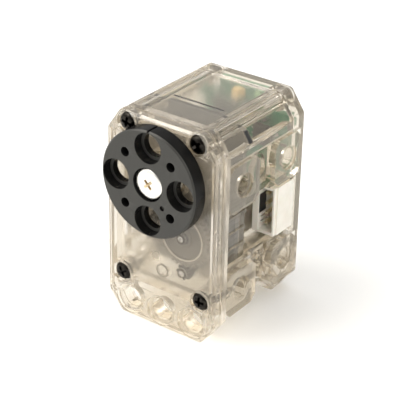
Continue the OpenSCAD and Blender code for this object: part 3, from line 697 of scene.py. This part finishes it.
def make_chip_parts(materials):
    """Two-ended chip parts on the back of the board, with tinned ends."""
    back = board_faces()[1]
    bodies, ends = bmesh.new(), bmesh.new()
    spots = [(-3.4 + 2.3 * i, 44.6, True) for i in range(4)]
    spots += [(-8.2, 36.4 + 1.9 * i, False) for i in range(3)]
    spots += [(7.6, 38.2 + 1.9 * i, False) for i in range(3)]
    spots += [(-1.4 + 2.8 * i, 22.4, True) for i in range(2)]
    for x, z, upright in spots:
        centre = Vector((x * MM, back + 0.16 * MM, z * MM))
        half = Vector((0.26, 0.16, 0.5) if upright else (0.5, 0.16, 0.26)) * MM
        add_block(bodies, centre - half * 0.98, centre + half * 0.98)
        step = Vector((0, 0, 1)) if upright else Vector((1, 0, 0))
        for side in (-1, 1):
            middle = centre + step * side * 0.42 * MM
            cap = Vector((0.13 if not upright else 0.3, 0.18, 0.3 if not upright else 0.13)) * MM
            add_block(ends, middle - cap, middle + cap)
    finish_piece("chip_parts", bodies, materials["ceramic"], rounding_mm=0.03)
    finish_piece("chip_part_ends", ends, materials["solder"], rounding_mm=0.04)


def add_leg(bm, foot, body_edge, side_axis, width, height):
    """Bent leg from a chip's side down to the board; foot and body_edge are points, in mm."""
    reach = foot - body_edge
    reach.y = 0
    rise = Vector((0, 0.12, 0))
    path = [body_edge, body_edge + reach * 0.3, foot - reach * 0.35 - rise, foot - rise]
    side = side_axis * width / 2
    lift = Vector((0, -height, 0))
    section = ((-side, Vector()), (side, Vector()), (side, lift), (-side, lift))
    rings = [[bm.verts.new((p + s + l) * MM) for s, l in section]
             for p in path]
    for near, far in zip(rings, rings[1:]):
        for k in range(4):
            bm.faces.new((near[k], near[(k + 1) % 4], far[(k + 1) % 4], far[k]))
    bm.faces.new(rings[0])
    bm.faces.new(rings[-1][::-1])


def make_chip(name, leg_sides, legs, pitch, body_size, materials):
    """Moulded chip with a bevelled body and bent legs, in place of its plain CAD node."""
    low, high = (corner / MM for corner in corners(name))
    centre = (low + high) / 2
    front = board_faces()[0] / MM
    half_x, half_z = body_size[0] / 2, body_size[1] / 2
    body_low = low.y + 0.02
    body = bmesh.new()
    waist = (body_low + front) / 2
    signs = ((-1, -1), (1, -1), (1, 1), (-1, 1))
    rings = []
    for y, inset in ((body_low, 0.12), (waist, 0), (front - 0.1, 0.12)):
        wide, tall = half_x - inset, half_z - inset
        rings.append([body.verts.new(Vector((centre.x + u * wide, y, centre.z + v * tall)) * MM)
                      for u, v in signs])
    for near, far in zip(rings, rings[1:]):
        for k in range(4):
            body.faces.new((near[k], near[(k + 1) % 4], far[(k + 1) % 4], far[k]))
    body.faces.new(rings[0])
    body.faces.new(rings[-1][::-1])
    made = finish_piece(name + "_body", body, materials["chip_black"], rounding_mm=0.06)
    pins = bmesh.new()
    for i in range(legs):
        along = (i - (legs - 1) / 2) * pitch
        for side in (-1, 1):
            if "x" in leg_sides:
                edge = Vector((centre.x + side * half_x * 0.98, waist, centre.z + along))
                foot = Vector((high.x if side > 0 else low.x, front, centre.z + along))
                add_leg(pins, foot, edge, Vector((0, 0, 1)), 0.34, 0.12)
            if "z" in leg_sides:
                edge = Vector((centre.x + along, waist, centre.z + side * half_z * 0.98))
                foot = Vector((centre.x + along, front, high.z if side > 0 else low.z))
                add_leg(pins, foot, edge, Vector((1, 0, 0)), 0.34, 0.12)
    finish_piece(name + "_legs", pins, materials["solder"], smooth=False)
    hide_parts(name)


def make_plate_gap_shade(materials):
    """Painted shade: a dark band on the upper edges of the gear plate, where it meets the housing, standing
    for the shade in the thin gap there.
    """
    low, high = corners("gear_plate")
    mesh = NODES["gear_plate"].data
    edges = {}
    for face in mesh.polygons:
        if abs(face.normal.y) < 0.1 and face.normal.z > 0.3 and face.area > MM ** 2:
            points = [mesh.vertices[index].co for index in face.vertices]
            depth = round(face.normal.dot(points[0]) / MM, 1)
            edges.setdefault((round(face.normal.x, 2), round(face.normal.z, 2), depth), []).extend(points)
    bm = bmesh.new()
    for (x, z, _), points in edges.items():
        out = Vector((x, 0, z)).normalized()
        along = Vector((out.z, 0, -out.x))
        reach = [point.dot(along) for point in points]
        middle = along * (max(reach) + min(reach)) / 2 + out * (points[0].dot(out) + 0.04 * MM)
        middle.y = (low.y + high.y) / 2
        turn = Matrix((along, Vector((0, 1, 0)), out)).transposed().to_4x4()
        size = (max(reach) - min(reach) - 0.3 * MM, 0.9 * MM, 0.12 * MM, 1)
        bmesh.ops.create_cube(bm, size=1, matrix=Matrix.Translation(middle) @ turn @ Matrix.Diagonal(size))
    finish_piece("gear_plate_gap_shade", bm, materials["chip_black"], smooth=False)


def make_seam_shade_strip(materials):
    """Painted shade: a dark strip laid in the groove across the top of the main housing, over the gear
    plate, darkening the seam where shade falls.
    """
    top = corners("main_housing")[1].z / MM
    groove = corners("gear_plate")[1].y / MM + 0.1
    reach = 6.7
    bm = bmesh.new()
    # Half width, bottom and top of two steps that follow the groove's round bottom
    for half, low, high in ((0.25, -0.13, -0.04), (0.16, -0.23, -0.12)):
        add_block(bm, Vector((-reach, groove - half, top + low)) * MM,
                  Vector((reach, groove + half, top + high)) * MM)
    finish_piece("plate_seam_painted_shade", bm, materials["chip_black"], smooth=False)


def make_wheel_highlight_bead(materials):
    """Painted highlight: a light-coloured rounded bead on the raised ring of the large gear behind the front
    cover, standing for the bright line that light draws along the ring.
    """
    low, high = corners("axle_2")
    place = Vector(((low.x + high.x) / 2, corners("gear_2_wheel")[0].y, (low.z + high.z) / 2))
    bm = bmesh.new()
    section = [(5.2, 0.03), (5.25, -0.1), (5.4, -0.16), (5.55, -0.1), (5.6, 0.03), (5.2, 0.03)]
    add_turned(bm, place, section, 96)
    bmesh.ops.remove_doubles(bm, verts=bm.verts, dist=1e-7)
    finish_piece("gear_2_wheel_highlight_bead", bm, materials["gear_ring_highlight"], "gear_2")


def make_header_mouth_shades(materials):
    """Painted shade: a black block on the inner wall of each header's mouth, darkening the upper part of the
    mouth where shade falls.
    """
    for side, name in ((1, "connector_right"), (-1, "connector_left")):
        low, high = (corner / MM for corner in corners(name))
        inner = low.x if side > 0 else high.x
        bm = bmesh.new()
        a = Vector((inner + side * 0.3, low.y + 0.45, high.z - 7.75)) * MM
        b = Vector((inner + side * 1.5, low.y + 3.45, high.z - 2.85)) * MM
        add_block(bm, Vector(map(min, a, b)), Vector(map(max, a, b)))
        label = "right" if side > 0 else "left"
        finish_piece("header_mouth_shade_" + label, bm, materials["chip_black"], rounding_mm=0.05)


make_camera()
make_studio()
materials = make_materials()
dress_nodes(materials)
make_cover_screws("front_screws", 1, materials["black_screw"])
make_cover_screws("rear_screws", -1, materials["steel"])
make_disc_screw(materials)
make_solder(materials)
make_tracks(materials)
make_chip_parts(materials)
make_chip("microcontroller", "xz", 8, 0.8, (7, 7), materials)
make_chip("motor_driver", "x", 4, 1.27, (4, 5), materials)
make_header_mouth_shades(materials)
make_plate_gap_shade(materials)
make_seam_shade_strip(materials)
make_wheel_highlight_bead(materials)
